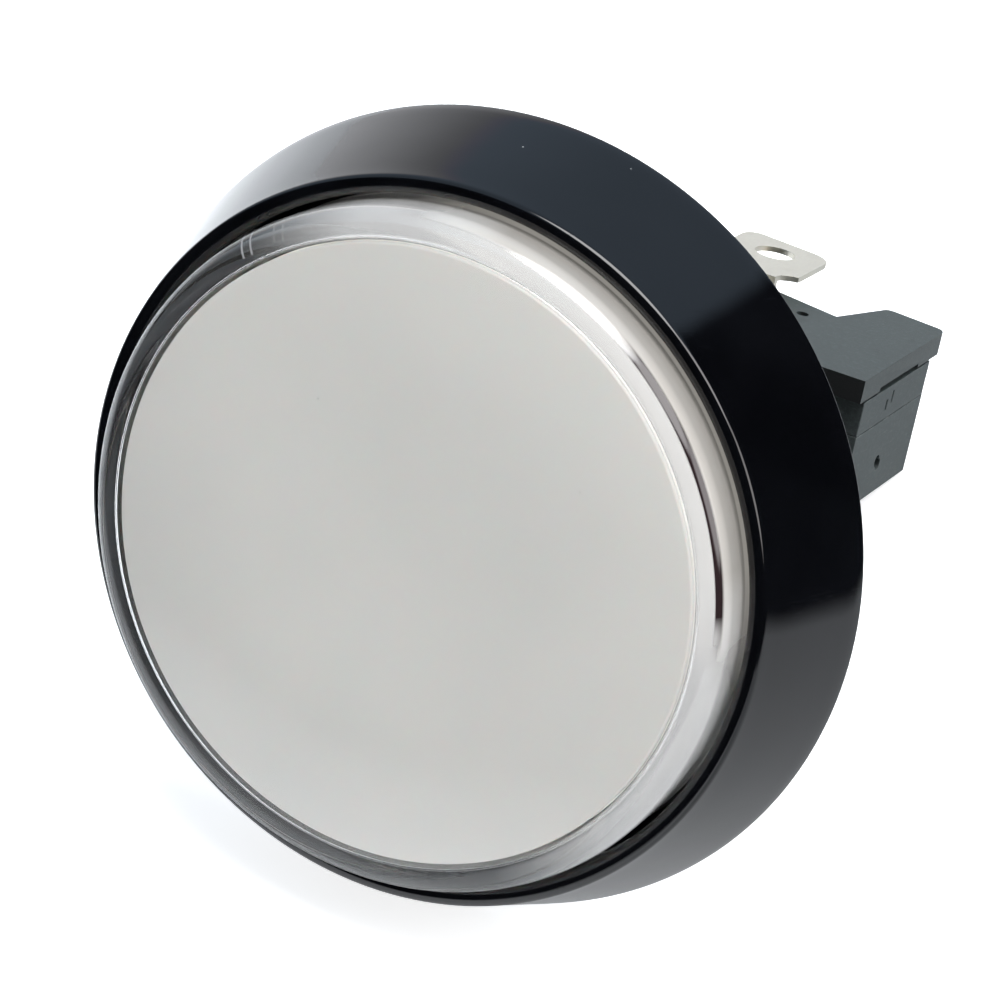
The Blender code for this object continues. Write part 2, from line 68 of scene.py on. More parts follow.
def finish(name, bm):
    bmesh.ops.remove_doubles(bm, verts=bm.verts, dist=1e-5)
    bmesh.ops.recalc_face_normals(bm, faces=bm.faces)
    bmesh.ops.scale(bm, vec=(MM, MM, MM), verts=bm.verts)
    mesh = bpy.data.meshes.new(name)
    bm.to_mesh(mesh)
    bm.free()
    ob = bpy.data.objects.new(name, mesh)
    bpy.context.scene.collection.objects.link(ob)
    return ob


def turned(name, profile_at, seg, axis="Z", centre=(0, 0, 0)):
    """Turned solid whose closed (radius, height) profile may change with the angle."""
    bm = bmesh.new()
    columns = [profile_at(PI2 * i / seg) for i in range(seg)]
    n = len(columns[0])
    poles = {}
    verts = []
    for i, col in enumerate(columns):
        a = PI2 * i / seg
        line = []
        for k, (r, z) in enumerate(col):
            if r < 1e-6:
                if k not in poles:
                    poles[k] = bm.verts.new((0, 0, z))
                line.append(poles[k])
            else:
                line.append(bm.verts.new((r * math.cos(a), r * math.sin(a), z)))
        verts.append(line)
    for i in range(seg):
        p, q = verts[i], verts[(i + 1) % seg]
        for k in range(n):
            m = (k + 1) % n
            ring = []
            for v in (p[k], p[m], q[m], q[k]):
                if v not in ring:
                    ring.append(v)
            if len(ring) > 2:
                bm.faces.new(ring)
    if axis == "Y":
        bmesh.ops.rotate(bm, cent=(0, 0, 0), matrix=Matrix.Rotation(math.radians(-90), 3, "X"), verts=bm.verts)
    elif axis == "X":
        bmesh.ops.rotate(bm, cent=(0, 0, 0), matrix=Matrix.Rotation(math.radians(90), 3, "Y"), verts=bm.verts)
    bmesh.ops.translate(bm, vec=centre, verts=bm.verts)
    return finish(name, bm)


def lathe(name, profile, seg, axis="Z", centre=(0, 0, 0)):
    return turned(name, lambda a: profile, seg, axis, centre)


def cylinder(name, r, z0, z1, seg=48, axis="Z", centre=(0, 0, 0)):
    return lathe(name, [(0, z0), (r, z0), (r, z1), (0, z1)], seg, axis, centre)


def box(name, x, y, z):
    bm = bmesh.new()
    bmesh.ops.create_cube(bm, size=1.0)
    x, y, z = sorted(x), sorted(y), sorted(z)
    bmesh.ops.scale(bm, vec=(x[1] - x[0], y[1] - y[0], z[1] - z[0]), verts=bm.verts)
    bmesh.ops.translate(bm, vec=((x[0] + x[1]) / 2, (y[0] + y[1]) / 2, (z[0] + z[1]) / 2), verts=bm.verts)
    return finish(name, bm)


def prism(name, outline, y0, y1):
    bm = bmesh.new()
    low = [bm.verts.new((x, y0, z)) for x, z in outline]
    high = [bm.verts.new((x, y1, z)) for x, z in outline]
    bm.faces.new(low)
    bm.faces.new(list(reversed(high)))
    n = len(outline)
    for i in range(n):
        j = (i + 1) % n
        bm.faces.new((low[i], low[j], high[j], high[i]))
    return finish(name, bm)


def sector(name, r0, r1, z0, z1, a0, a1, steps):
    bm = bmesh.new()
    cols = []
    for i in range(steps + 1):
        a = math.radians(a0 + (a1 - a0) * i / steps)
        c, s = math.cos(a), math.sin(a)
        cols.append([bm.verts.new((r * c, r * s, z)) for r, z in ((r0, z0), (r1, z0), (r1, z1), (r0, z1))])
    for a, b in zip(cols, cols[1:]):
        for k in range(4):
            bm.faces.new((a[k], a[(k + 1) % 4], b[(k + 1) % 4], b[k]))
    bm.faces.new(cols[0])
    bm.faces.new(list(reversed(cols[-1])))
    return finish(name, bm)


def coil(name, mean_r, wire_r, z0, z1, turns, per_turn, sides, centre=(0, 0)):
    """Compression spring with closed end turns."""
    bm = bmesh.new()
    n = int(turns * per_turn)
    lo, hi = z0 + wire_r, z1 - wire_r
    rings = []
    for i in range(n + 1):
        t = i / per_turn
        dead = 0.8
        if t < dead:
            u = 0.0
        elif t > turns - dead:
            u = 1.0
        else:
            u = (t - dead) / (turns - 2 * dead)
            u = u * u * (3 - 2 * u) * 0.25 + u * 0.75
        squeeze = 2.05 * wire_r
        z = lo + squeeze * min(t, dead) / dead + (hi - lo - 2 * squeeze) * u + squeeze * max(0.0, t - (turns - dead)) / dead
        a = PI2 * t
        cx, cy = centre[0] + mean_r * math.cos(a), centre[1] + mean_r * math.sin(a)
        rings.append([bm.verts.new((cx + wire_r * math.cos(p) * math.cos(a), cy + wire_r * math.cos(p) * math.sin(a), z + wire_r * math.sin(p)))
                      for p in (PI2 * k / sides for k in range(sides))])
    for a, b in zip(rings, rings[1:]):
        for k in range(sides):
            bm.faces.new((a[k], a[(k + 1) % sides], b[(k + 1) % sides], b[k]))
    bm.faces.new(rings[0])
    bm.faces.new(list(reversed(rings[-1])))
    return finish(name, bm)


def wire(name, points, r, sides=16):
    bm = bmesh.new()
    pts = [Vector(p) for p in points]
    rings = []
    side = Vector((1, 0, 0))
    for i, p in enumerate(pts):
        before = (p - pts[i - 1]).normalized() if i else (pts[1] - p).normalized()
        after = (pts[i + 1] - p).normalized() if i < len(pts) - 1 else before
        tangent = (before + after).normalized()
        stretch = 1.0 / max(0.3, tangent.dot(before))
        up = tangent.cross(side).normalized()
        rings.append([bm.verts.new(p + side * (r * math.cos(a)) + up * (r * stretch * math.sin(a))) for a in (PI2 * k / sides for k in range(sides))])
    for a, b in zip(rings, rings[1:]):
        for k in range(sides):
            bm.faces.new((a[k], a[(k + 1) % sides], b[(k + 1) % sides], b[k]))
    bm.faces.new(rings[0])
    bm.faces.new(list(reversed(rings[-1])))
    return finish(name, bm)


def combine(target, tools, operation):
    for tool in tools:
        mod = target.modifiers.new("cut", "BOOLEAN")
        mod.operation = operation
        mod.solver = "EXACT"
        mod.object = tool
        bpy.context.view_layer.update()
        evaluated = target.evaluated_get(bpy.context.evaluated_depsgraph_get())
        mesh = bpy.data.meshes.new_from_object(evaluated)
        target.modifiers.clear()
        old = target.data
        target.data = mesh
        bpy.data.meshes.remove(old)
        bpy.data.objects.remove(tool, do_unlink=True)
    bm = bmesh.new()
    bm.from_mesh(target.data)
    bmesh.ops.remove_doubles(bm, verts=bm.verts, dist=1e-7)
    bmesh.ops.dissolve_degenerate(bm, edges=bm.edges, dist=1e-7)
    bm.to_mesh(target.data)
    bm.free()
    return target


def join(target, tools):
    return combine(target, tools, "UNION")


def cut(target, tools):
    return combine(target, tools, "DIFFERENCE")


def arc(cr, cz, r, a0, a1, n):
    return [(cr + r * math.cos(math.radians(a0 + (a1 - a0) * i / n)), cz + r * math.sin(math.radians(a0 + (a1 - a0) * i / n))) for i in range(n + 1)]


def smooth(lo, hi, x):
    t = min(1.0, max(0.0, (x - lo) / (hi - lo)))
    return t * t * (3 - 2 * t)


def bevel(ob, width, segments=3, angle=35):
    mod = ob.modifiers.new("edge", "BEVEL")
    mod.width = width * MM
    mod.segments = segments
    mod.limit_method = "ANGLE"
    mod.angle_limit = math.radians(angle)
    mod.harden_normals = True
    mod.use_clamp_overlap = True
    return ob


def place(ob, name, mat, body, node, edge=None, angle=32):
    ob.name = name
    ob.data.name = name
    ob.data.transform(Matrix.Translation((0, 0, SHIFT * MM)))
    ob.data.materials.clear()
    ob.data.materials.append(mat)
    ob.data.shade_smooth()
    ob.data.set_sharp_from_angle(angle=math.radians(angle))
    if edge:
        bevel(ob, edge)
    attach(ob, body)
    if node:
        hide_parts(node)
    return ob


def keep_node(node, mat, edge=None):
    """Shows a CAD node as it is, with softened edges and a finish."""
    ob = frame["nodes"][node]
    ob.data.materials.clear()
    ob.data.materials.append(mat)
    weld = ob.modifiers.new("weld", "WELD")
    weld.merge_threshold = 1e-6
    if edge:
        bevel(ob, edge, 2)
    return ob


# ---------------------------------------------------------------- material helpers

class Graph:
    """Node material in millimetre object coordinates."""

    def __init__(self, name):
        self.mat = bpy.data.materials.new(name)
        self.mat.use_nodes = True
        self.nt = self.mat.node_tree
        self.bsdf = self.nt.nodes["Principled BSDF"]
        self.out = self.nt.nodes["Material Output"]
        coord = self.nt.nodes.new("ShaderNodeTexCoord")
        scale = self.nt.nodes.new("ShaderNodeVectorMath")
        scale.operation = "SCALE"
        scale.inputs["Scale"].default_value = 1000.0
        self.nt.links.new(coord.outputs["Object"], scale.inputs[0])
        self.mm = scale.outputs[0]

    def put(self, socket, value):
        if isinstance(value, bpy.types.NodeSocket):
            self.nt.links.new(value, socket)
        elif hasattr(socket.default_value, "__len__"):
            n = len(socket.default_value)
            value = tuple(value)
            socket.default_value = value if len(value) == n else (*value, 1.0)
        else:
            socket.default_value = value

    def stretch(self, vec, factors, turn=(0, 0, 0)):
        m = self.nt.nodes.new("ShaderNodeMapping")
        m.inputs["Scale"].default_value = factors
        m.inputs["Rotation"].default_value = turn
        self.nt.links.new(vec, m.inputs["Vector"])
        return m.outputs[0]

    def noise(self, scale, detail=4.0, rough=0.55, vec=None, distortion=0.0):
        n = self.nt.nodes.new("ShaderNodeTexNoise")
        n.inputs["Scale"].default_value = scale
        n.inputs["Detail"].default_value = detail
        n.inputs["Roughness"].default_value = rough
        n.inputs["Distortion"].default_value = distortion
        self.nt.links.new(vec or self.mm, n.inputs["Vector"])
        return n.outputs["Fac"]

    def cells(self, scale, feature="F1", vec=None, out="Distance", random=1.0):
        n = self.nt.nodes.new("ShaderNodeTexVoronoi")
        n.feature = feature
        n.inputs["Scale"].default_value = scale
        n.inputs["Randomness"].default_value = random
        self.nt.links.new(vec or self.mm, n.inputs["Vector"])
        return n.outputs[out]

    def remap(self, value, lo, hi, to_lo=0.0, to_hi=1.0, smooth_step=False):
        n = self.nt.nodes.new("ShaderNodeMapRange")
        n.interpolation_type = "SMOOTHSTEP" if smooth_step else "LINEAR"
        n.clamp = True
        self.put(n.inputs["Value"], value)
        n.inputs["From Min"].default_value = lo
        n.inputs["From Max"].default_value = hi
        n.inputs["To Min"].default_value = to_lo
        n.inputs["To Max"].default_value = to_hi
        return n.outputs["Result"]

    def math(self, op, a, b=0.0, c=0.0):
        n = self.nt.nodes.new("ShaderNodeMath")
        n.operation = op
        for i, v in enumerate((a, b, c)):
            if i < len(n.inputs):
                self.put(n.inputs[i], v)
        return n.outputs[0]

    def mix(self, fac, a, b):
        n = self.nt.nodes.new("ShaderNodeMix")
        n.data_type = "RGBA"
        self.put(n.inputs[0], fac)
        self.put(n.inputs[6], a)
        self.put(n.inputs[7], b)
        return n.outputs[2]

    def axis(self, which):
        n = self.nt.nodes.new("ShaderNodeSeparateXYZ")
        self.nt.links.new(self.mm, n.inputs[0])
        return n.outputs[which]

    def bump(self, height, depth_mm, strength=1.0, after=None):
        n = self.nt.nodes.new("ShaderNodeBump")
        n.inputs["Strength"].default_value = strength
        n.inputs["Distance"].default_value = depth_mm * MM
        self.put(n.inputs["Height"], height)
        if after is not None:
            self.nt.links.new(after, n.inputs["Normal"])
        return n.outputs["Normal"]

    def edges(self, radius_mm):
        """About 1 on a convex or concave edge, 0 on a flat."""
        b = self.nt.nodes.new("ShaderNodeBevel")
        b.samples = 4
        b.inputs["Radius"].default_value = radius_mm * MM
        g = self.nt.nodes.new("ShaderNodeNewGeometry")
        d = self.nt.nodes.new("ShaderNodeVectorMath")
        d.operation = "DOT_PRODUCT"
        self.nt.links.new(b.outputs[0], d.inputs[0])
        self.nt.links.new(g.outputs["Normal"], d.inputs[1])
        return self.remap(d.outputs["Value"], 0.995, 0.80)

    def set(self, **values):
        names = {"colour": "Base Color", "rough": "Roughness", "metal": "Metallic", "ior": "IOR", "normal": "Normal",
                 "coat": "Coat Weight", "coat_rough": "Coat Roughness", "trans": "Transmission Weight", "sss": "Subsurface Weight",
                 "sss_scale": "Subsurface Scale", "spec": "Specular IOR Level", "aniso": "Anisotropic", "sheen": "Sheen Weight"}
        for key, value in values.items():
            self.put(self.bsdf.inputs[names[key]], value)
        return self.mat


def gloss_black(name):
    """Moulded glossy black ABS: slow waviness, hairline scratches and a few dust specks."""
    g = Graph(name)
    wave = g.noise(0.11, 2.0, 0.4)
    grain = g.noise(5.0, 6.0, 0.6)
    hair = g.noise(1.0, 3.0, 0.5, vec=g.stretch(g.mm, (0.35, 9.0, 0.5), (0.3, 0.5, 0.8)))
    scratch = g.remap(hair, 0.66, 0.72)
    dust = g.remap(g.cells(0.55), 0.05, 0.03)
    pick = g.remap(g.cells(0.55, out="Color"), 0.70, 0.78)
    speck = g.math("MULTIPLY", dust, pick)
    base = g.mix(g.remap(wave, 0.35, 0.65), (0.0010, 0.0011, 0.0016), (0.0020, 0.0022, 0.0030))
    base = g.mix(g.math("MULTIPLY", speck, 0.35), base, (0.45, 0.47, 0.48))
    rough = g.math("ADD", g.remap(grain, 0.3, 0.7, 0.045, 0.085), g.math("MULTIPLY", scratch, 0.10))
    n = g.bump(wave, 0.10, 0.35)
    n = g.bump(grain, 0.0012, 0.5, n)
    n = g.bump(scratch, 0.0015, 0.6, n)
    return g.set(colour=base, rough=rough, ior=1.52, normal=n)


def clear_plastic(name, tint=(0.98, 0.985, 0.98), ior=1.585, rim=None, painted_rim_light=0.0):
    """Clear polycarbonate; lets light straight through to what lies under it. Given rim, the rim also carries painted
    light: a diffuse white layer on one side, a beige outer wall, a painted dark streak and a painted glow.
    """
    g = Graph(name)
    wave = g.noise(0.22, 2.0, 0.4)
    fine = g.noise(3.0, 5.0, 0.6)
    hair = g.noise(0.8, 2.0, 0.5, vec=g.stretch(g.mm, (0.3, 7.0, 0.4), (0.1, 0.2, 0.5)))
    scratch = g.remap(hair, 0.69, 0.74)
    n = g.bump(wave, 0.05, 0.25)
    n = g.bump(scratch, 0.001, 0.35, n)
    clear_part = 1.0
    if rim:
        radius = g.math("SQRT", g.math("ADD", g.math("POWER", g.axis(0), 2.0), g.math("POWER", g.axis(1), 2.0)))
        def facing(cx, cy):
            return g.math("DIVIDE", g.math("ADD", g.math("MULTIPLY", g.axis(0), cx), g.math("MULTIPLY", g.axis(1), cy)), radius)

        # painted light: the rim is faintly milky, strongest on the side facing (0.80, 0.60), and its outer wall is
        # painted beige on the side facing (0.643, 0.766), darker lower down; this stands in for light piped round the
        # rim and the lit plunger seen through the wall
        inner = g.math("MULTIPLY", g.remap(radius, rim, rim + 0.5, 0.0, painted_rim_light), g.remap(facing(0.80, 0.60), -0.08, 0.30, 0.05, 1.0))
        outer = g.remap(radius, rim + 1.75, rim + 1.95)
        wall = g.math("MULTIPLY", g.math("MULTIPLY", outer, 0.88), g.remap(facing(0.643, 0.766), 0.60, 0.84))
        # painted dark streak between the two, standing in for a reflection inside the clear wall
        line = g.math("MULTIPLY", g.remap(radius, rim + 1.58, rim + 1.66), g.remap(radius, rim + 2.08, rim + 1.98))
        line = g.math("MULTIPLY", line, g.remap(g.axis(2), -1.6, -1.2))
        line = g.math("MULTIPLY", line, g.remap(facing(0.848, 0.53), 0.88, 0.93))
        line = g.math("MULTIPLY", line, g.remap(fine, 0.16, 0.28))
        tint_node = g.mix(wall, g.mix(g.remap(wave, 0.3, 0.7), tint, (0.99, 0.98, 0.975)), g.mix(g.remap(g.axis(2), -1.0, -3.0), (0.35, 0.33, 0.30), (0.12, 0.11, 0.095)))
        tint_node = g.mix(line, tint_node, (0.018, 0.011, 0.012))
        # two fine lines either side of the moulding gate
        gate = g.math("MULTIPLY", g.remap(facing(-0.6428, 0.7660), 0.99976, 0.99980), g.remap(facing(-0.6428, 0.7660), 0.99991, 0.99987))
        gate = g.math("MULTIPLY", gate, g.remap(radius, rim + 0.7, rim + 0.8))
        tint_node = g.mix(g.math("MULTIPLY", gate, 0.75), tint_node, (0.10, 0.10, 0.12))
        line = g.math("MAXIMUM", line, g.math("MULTIPLY", gate, 0.6))
        # painted glow: emission down the outer wall, brightest where it meets the bezel's lip, standing in for light
        # piped down the wall
        depth = g.axis(2)
        glow = g.math("ADD", g.remap(depth, -2.0, -3.3, 0.0, 0.13), g.remap(depth, -3.95, -4.1, 0.0, 0.16))
        g.bsdf.inputs["Emission Color"].default_value = (0.95, 0.91, 0.83, 1.0)
        g.put(g.bsdf.inputs["Emission Strength"], g.math("MULTIPLY", glow, wall))
        clear_part = g.math("SUBTRACT", 1.0, g.math("MAXIMUM", g.math("MAXIMUM", inner, wall), g.math("MULTIPLY", line, 0.98)))
    else:
        tint_node = g.mix(g.remap(wave, 0.3, 0.7), tint, (0.99, 0.99, 0.985))
    g.set(colour=tint_node, rough=g.math("ADD", g.remap(fine, 0.3, 0.7, 0.0, 0.018), g.math("MULTIPLY", scratch, 0.05)), ior=ior, trans=clear_part, normal=n)
    path = g.nt.nodes.new("ShaderNodeLightPath")
    through = g.nt.nodes.new("ShaderNodeBsdfTransparent")
    through.inputs["Color"].default_value = (0.93, 0.94, 0.93, 1)
    mix = g.nt.nodes.new("ShaderNodeMixShader")
    either = g.math("MAXIMUM", path.outputs["Is Shadow Ray"], path.outputs["Is Diffuse Ray"])
    g.nt.links.new(either, mix.inputs[0])
    g.nt.links.new(g.bsdf.outputs[0], mix.inputs[1])
    g.nt.links.new(through.outputs[0], mix.inputs[2])
    g.nt.links.new(mix.outputs[0], g.out.inputs["Surface"])
    return g.mat


def milky(name, a, b, rough=0.35, shaded_from=None):
    """Opal plastic with faint clouding and small specks; given shaded_from, painted shade darkens it beyond that
    radius.
    """
    g = Graph(name)
    cloud = g.noise(0.05, 3.0, 0.5)
    fine = g.noise(2.2, 5.0, 0.6)
    speck = g.math("MULTIPLY", g.remap(g.cells(0.42), 0.055, 0.03), g.remap(g.cells(0.42, out="Color"), 0.72, 0.8))
    base = g.mix(g.remap(cloud, 0.35, 0.65), a, b)
    base = g.mix(g.remap(fine, 0.35, 0.75, 0.0, 0.10), base, tuple(c * 0.9 for c in a))
    base = g.mix(g.math("MULTIPLY", speck, 0.45), base, (0.25, 0.25, 0.24))
    if shaded_from:
        radius = g.math("SQRT", g.math("ADD", g.math("POWER", g.axis(0), 2.0), g.math("POWER", g.axis(1), 2.0)))
        # painted shade: beyond shaded_from the flange is darkened to near black, standing in for the shadow in the
        # bezel's cup
        base = g.mix(g.remap(radius, shaded_from, shaded_from + 0.1), base, (0.055, 0.06, 0.07))
    return g.set(colour=base, rough=g.remap(fine, 0.3, 0.7, rough - 0.06, rough + 0.08), normal=g.bump(fine, 0.004, 0.4), sss=0.15, sss_scale=0.0015)


def moulded(name, a, b, scuff_and_shade_colour, rough=0.55, grain=7.0, depth=0.012, spec=0.5, hooded=0.0, edge_rub_and_shade=0.45):
    """Textured engineering plastic: fine spark-eroded grain, cloudy tone, scuffs and rubbed edges in a second colour,
    pale on most parts; on the lamp holder that colour is dark and the edges carry painted shade.
    """
    g = Graph(name)
    fine = g.noise(grain, 6.0, 0.65)
    cloud = g.noise(0.25, 4.0, 0.55)
    hair = g.noise(1.4, 3.0, 0.5, vec=g.stretch(g.mm, (0.5, 8.0, 0.6), (0.4, 0.3, 0.9)))
    scratch = g.remap(hair, 0.64, 0.72)
    edge = g.edges(0.25)
    patch = g.remap(g.noise(0.9, 4.0, 0.6), 0.45, 0.62)
    mottle = g.noise(2.3, 5.0, 0.62)
    base = g.mix(g.remap(cloud, 0.35, 0.65), a, b)
    base = g.mix(g.remap(mottle, 0.40, 0.62, 0.0, 0.55), tuple(c * 0.78 for c in a), base)
    base = g.mix(g.remap(mottle, 0.56, 0.70, 0.0, 0.35), base, tuple(c * 1.8 for c in b))
    base = g.mix(g.remap(fine, 0.42, 0.68, 0.0, 0.5), base, tuple(c * 2.0 for c in b))
    base = g.mix(g.math("MULTIPLY", scratch, 0.25), base, scuff_and_shade_colour)
    # edges take the second colour: pale rubbed edges on most parts, painted shade along the lamp holder's edges
    base = g.mix(g.math("MULTIPLY", g.math("MULTIPLY", edge, patch), edge_rub_and_shade), base, scuff_and_shade_colour)
    if hooded:
        # faces that look forward under the bezel are toned down, as they sit in its shadow
        geo = g.nt.nodes.new("ShaderNodeNewGeometry")
        ahead = g.nt.nodes.new("ShaderNodeSeparateXYZ")
        g.nt.links.new(geo.outputs["True Normal"], ahead.inputs[0])
        hood = g.math("MULTIPLY", g.remap(ahead.outputs[2], 0.55, 0.95, 0.0, hooded), g.remap(g.axis(2), -46.0, -48.0))
        base = g.mix(hood, base, (0.0015, 0.0015, 0.002))
    n = g.bump(fine, depth, 0.6)
    n = g.bump(scratch, 0.004, 0.5, n)
    return g.set(colour=base, rough=g.remap(fine, 0.3, 0.7, rough - 0.08, rough + 0.1), normal=n, spec=spec)


def metal(name, a, b, tarnish, rough=0.28, along=(0.4, 14.0, 14.0), spots=0.5):
    """Rolled or drawn metal: grain lines along one axis, soft tarnish and small pits."""
    g = Graph(name)
    lines = g.noise(1.0, 5.0, 0.6, vec=g.stretch(g.mm, along))
    cloud = g.noise(0.5, 4.0, 0.6)
    pit = g.math("MULTIPLY", g.remap(g.cells(1.6), 0.10, 0.05), g.remap(g.cells(1.6, out="Color"), 0.62, 0.72))
    base = g.mix(g.remap(lines, 0.3, 0.7), a, b)
    base = g.mix(g.math("MULTIPLY", g.remap(cloud, 0.5, 0.72), spots), base, tarnish)
    base = g.mix(g.math("MULTIPLY", pit, 0.5), base, tarnish)
    edge = g.edges(0.12)
    r = g.math("ADD", g.remap(lines, 0.3, 0.7, rough - 0.07, rough + 0.09), g.math("MULTIPLY", edge, -0.06))
    n = g.bump(lines, 0.004, 0.5)
    n = g.bump(pit, 0.006, -0.5, n)
    return g.set(colour=base, rough=r, metal=1.0, normal=n)


mats = {
    "bezel_black": gloss_black("m_bezel_black"),
    "lens_clear": clear_plastic("m_lens_clear", rim=22.6, painted_rim_light=0.24),
    "diffuser_white": milky("m_diffuser_white", (0.500, 0.487, 0.475), (0.522, 0.508, 0.495), 0.4),
    "plunger_white": milky("m_plunger_white", (0.70, 0.66, 0.60), (0.78, 0.745, 0.68), 0.38, 22.65),
    "spring_steel": metal("m_spring_steel", (0.50, 0.51, 0.52), (0.66, 0.67, 0.68), (0.30, 0.27, 0.24), 0.26, (3.0, 3.0, 3.0), 0.35),
    "nut_black": moulded("m_nut_black", (0.012, 0.013, 0.014), (0.020, 0.021, 0.023), (0.10, 0.10, 0.105), 0.38, 5.0, 0.006),
    "washer_nylon": milky("m_washer_nylon", (0.66, 0.64, 0.58), (0.74, 0.72, 0.66), 0.45),
    # the holder's second colour is dark: painted shade along its edges, and dark scratches
    "holder_grey": moulded("m_holder_grey", (0.020, 0.029, 0.029), (0.033, 0.044, 0.044), (0.008, 0.012, 0.012), 0.50, 6.0, 0.016, hooded=0.97, edge_rub_and_shade=0.95),
    "yoke_white": milky("m_yoke_white", (0.66, 0.65, 0.60), (0.72, 0.71, 0.66), 0.42),
    "terminal_nickel": metal("m_terminal_nickel", (0.70, 0.67, 0.585), (0.77, 0.745, 0.66), (0.56, 0.52, 0.43), 0.36, (4.0, 4.0, 1.0), 0.25),
    "lamp_base_white": milky("m_lamp_base_white", (0.72, 0.72, 0.70), (0.80, 0.80, 0.78), 0.45),
    "lamp_dome_clear": clear_plastic("m_lamp_dome_clear", (0.96, 0.98, 1.0), 1.5),
    "lamp_lead_tin": metal("m_lamp_lead_tin", (0.70, 0.70, 0.69), (0.82, 0.82, 0.81), (0.45, 0.44, 0.42), 0.30, (6.0, 6.0, 0.8), 0.3),
    "switch_case_black": moulded("m_switch_case_black", (0.025, 0.035, 0.036), (0.040, 0.052, 0.052), (0.20, 0.22, 0.22), 0.55, 6.0, 0.018, hooded=0.45),
    "switch_button_black": moulded("m_switch_button_black", (0.015, 0.015, 0.016), (0.024, 0.024, 0.025), (0.12, 0.12, 0.12), 0.40, 6.0, 0.005),
    "switch_brass": metal("m_switch_brass", (0.70, 0.55, 0.27), (0.84, 0.70, 0.40), (0.38, 0.25, 0.12), 0.30, (0.5, 12.0, 12.0), 0.45),
    "contact_silver": metal("m_contact_silver", (0.80, 0.80, 0.78), (0.92, 0.92, 0.90), (0.45, 0.42, 0.38), 0.22, (4.0, 4.0, 4.0), 0.4),
    "blade_bronze": metal("m_blade_bronze", (0.62, 0.40, 0.22), (0.78, 0.55, 0.34), (0.32, 0.18, 0.10), 0.30, (0.5, 12.0, 12.0), 0.4),
}


# ---------------------------------------------------------------- bezel, nut and washer

PITCH = 3.0


def ridge(phase, crest, flank):
    """Trapezoid thread form, 1 on the crest, 0 on the root; phase in millimetres from the crest's middle."""
    d = abs((phase + PITCH / 2) % PITCH - PITCH / 2)
    return 1.0 - smooth(crest / 2, crest / 2 + flank, d) if d > crest / 2 else 1.0


def bezel_profile(a):
    head = [(29.62, 0.0)] + arc(29.7, 0.3, 0.3, -90, 18, 6)
    side = [(30.0 - 3.25 * t / 14.0 - 0.0, 0.42 + 9.15 * t / 14.0) for t in range(1, 14)]
    lip = [(26.73, 9.66), (26.68, 9.82), (26.62, 9.94), (26.53, 10.04), (26.42, 10.10), (26.30, 10.13), (25.95, 10.12), (25.75, 10.08), (25.60, 10.0), (25.48, 9.88), (25.40, 9.74), (25.34, 9.56), (25.30, 9.30)]
    cup = [(25.3, 6.0), (25.3, 2.1), (25.15, 1.8), (24.8, 1.6), (18.0, 1.6), (10.7, 1.6), (10.4, 1.5), (10.3, 1.2), (10.3, -12.0), (8.9, -12.0), (8.9, -20.0), (10.3, -20.0), (10.3, -28.0), (11.0, -28.0)]
    stem = []
    steps = 156
    for k in range(steps + 1):
        z = -27.9 + (27.9 - 0.05) * k / steps
        fade = smooth(-27.9, -27.0, z) * (1 - smooth(-1.9, -0.6, z))
        form = ridge(z - PITCH * a / PI2, 0.75, 0.45)
        stem.append((11.12 + 0.73 * form * fade, z))
    under = [(11.5, 0.0), (26.9, 0.0), (27.0, 1.5), (27.2, 4.4), (27.6, 4.4), (28.0, 1.5), (28.3, 0.0)]
    return head + side + lip + cup + stem + under


bezel = turned("bezel", bezel_profile, 192)
slots = []
for k in range(2):
    locked = 70.0 + 180 * k
    entry = locked - 42.0
    slots.append(sector("t", 9.7, 12.6, -24.8, -27.7, entry - 9.5, locked + 9.5, 26))
    slots.append(sector("t", 9.7, 12.6, -25.8, -28.8, entry - 9.5, entry + 9.5, 10))
cut(bezel, slots)
place(bezel, "bezel_shell", mats["bezel_black"], "bezel", "bezel_body", angle=30)


def nut_profile(a):
    """Six-lobed nut on a round flange, threaded inside."""
    flange = [(12.6, -9.6), (16.6, -9.6)] + arc(16.6, -9.9, 0.3, 90, 0, 4) + [(16.9, -10.6)] + arc(16.6, -10.6, 0.3, 0, -90, 4)
    deg = math.degrees(a) % 60
    lobe = 1 - smooth(8.0, 10.5, min(deg, 60 - deg))
    outer = 14.2 + 2.0 * lobe
    body = [(outer + 0.25, -10.9), (outer, -11.15), (outer, -14.7), (outer - 0.15, -15.0), (outer - 0.5, -15.15), (14.0, -15.2), (13.6, -15.55), (13.2, -15.6), (12.6, -15.6)]
    bore = []
    steps = 34
    for k in range(steps + 1):
        z = -15.55 + 5.9 * k / steps
        fade = smooth(-15.6, -15.0, z) * (1 - smooth(-10.3, -9.7, z))
        form = ridge(z - PITCH * a / PI2 + PITCH / 2, 0.45, 0.35)
        bore.append((12.35 - 0.85 * form * fade, z))
    return flange + body + bore


nut = turned("nut", nut_profile, 240)
place(nut, "mounting_nut_look", mats["nut_black"], "nut", "mounting_nut", angle=34)

washer = lathe("w", [(12.0, -8.35), (12.15, -8.2), (16.2, -8.2), (16.35, -8.26), (16.4, -8.4), (16.4, -9.1), (16.35, -9.24), (16.2, -9.3), (12.15, -9.3), (12.0, -9.15)], 160)
place(washer, "nut_washer_look", mats["washer_nylon"], "nut_run_ring", "nut_washer")


# ---------------------------------------------------------------- lens, diffuser, plunger, return spring

